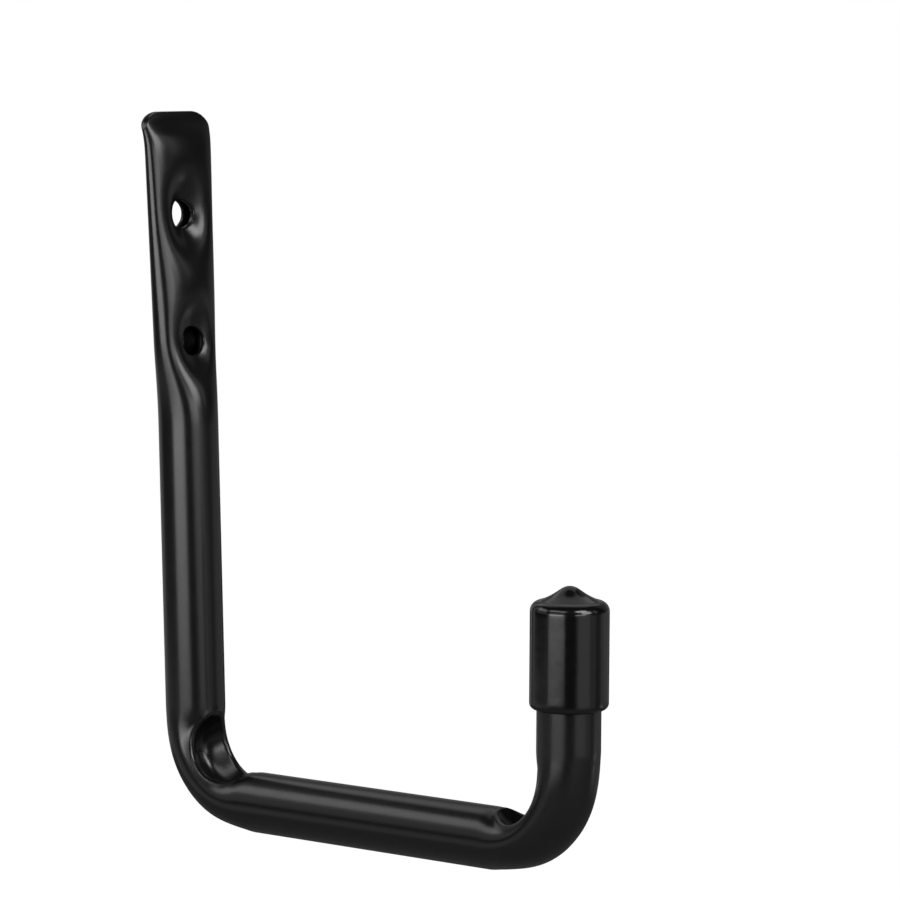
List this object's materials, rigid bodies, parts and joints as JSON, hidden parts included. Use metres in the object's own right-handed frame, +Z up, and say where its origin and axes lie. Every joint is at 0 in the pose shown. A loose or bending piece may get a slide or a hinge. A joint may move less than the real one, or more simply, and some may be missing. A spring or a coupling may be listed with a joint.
{
  "type": "utility hook",
  "caption": "Wall-mounted tubular storage hook: flattened upright with screw holes, long arm and short upturned tip with a soft vinyl cap.",
  "frame": {"origin": "on the upright's centre line, midway between the two screw holes", "axes": "-Y away from the wall along the arm, +Z up along the upright, X across the hook's width"},
  "size_m": [0.0278, 0.1821, 0.2267],
  "materials": {
    "powder_coat": "satin black powder coat on steel tube",
    "vinyl": "glossy black dip-moulded soft vinyl"
  },
  "bodies": {
    "root": {"hook_tube": "powder_coat", "end_cap": "vinyl"}
  },
  "joints": []
}
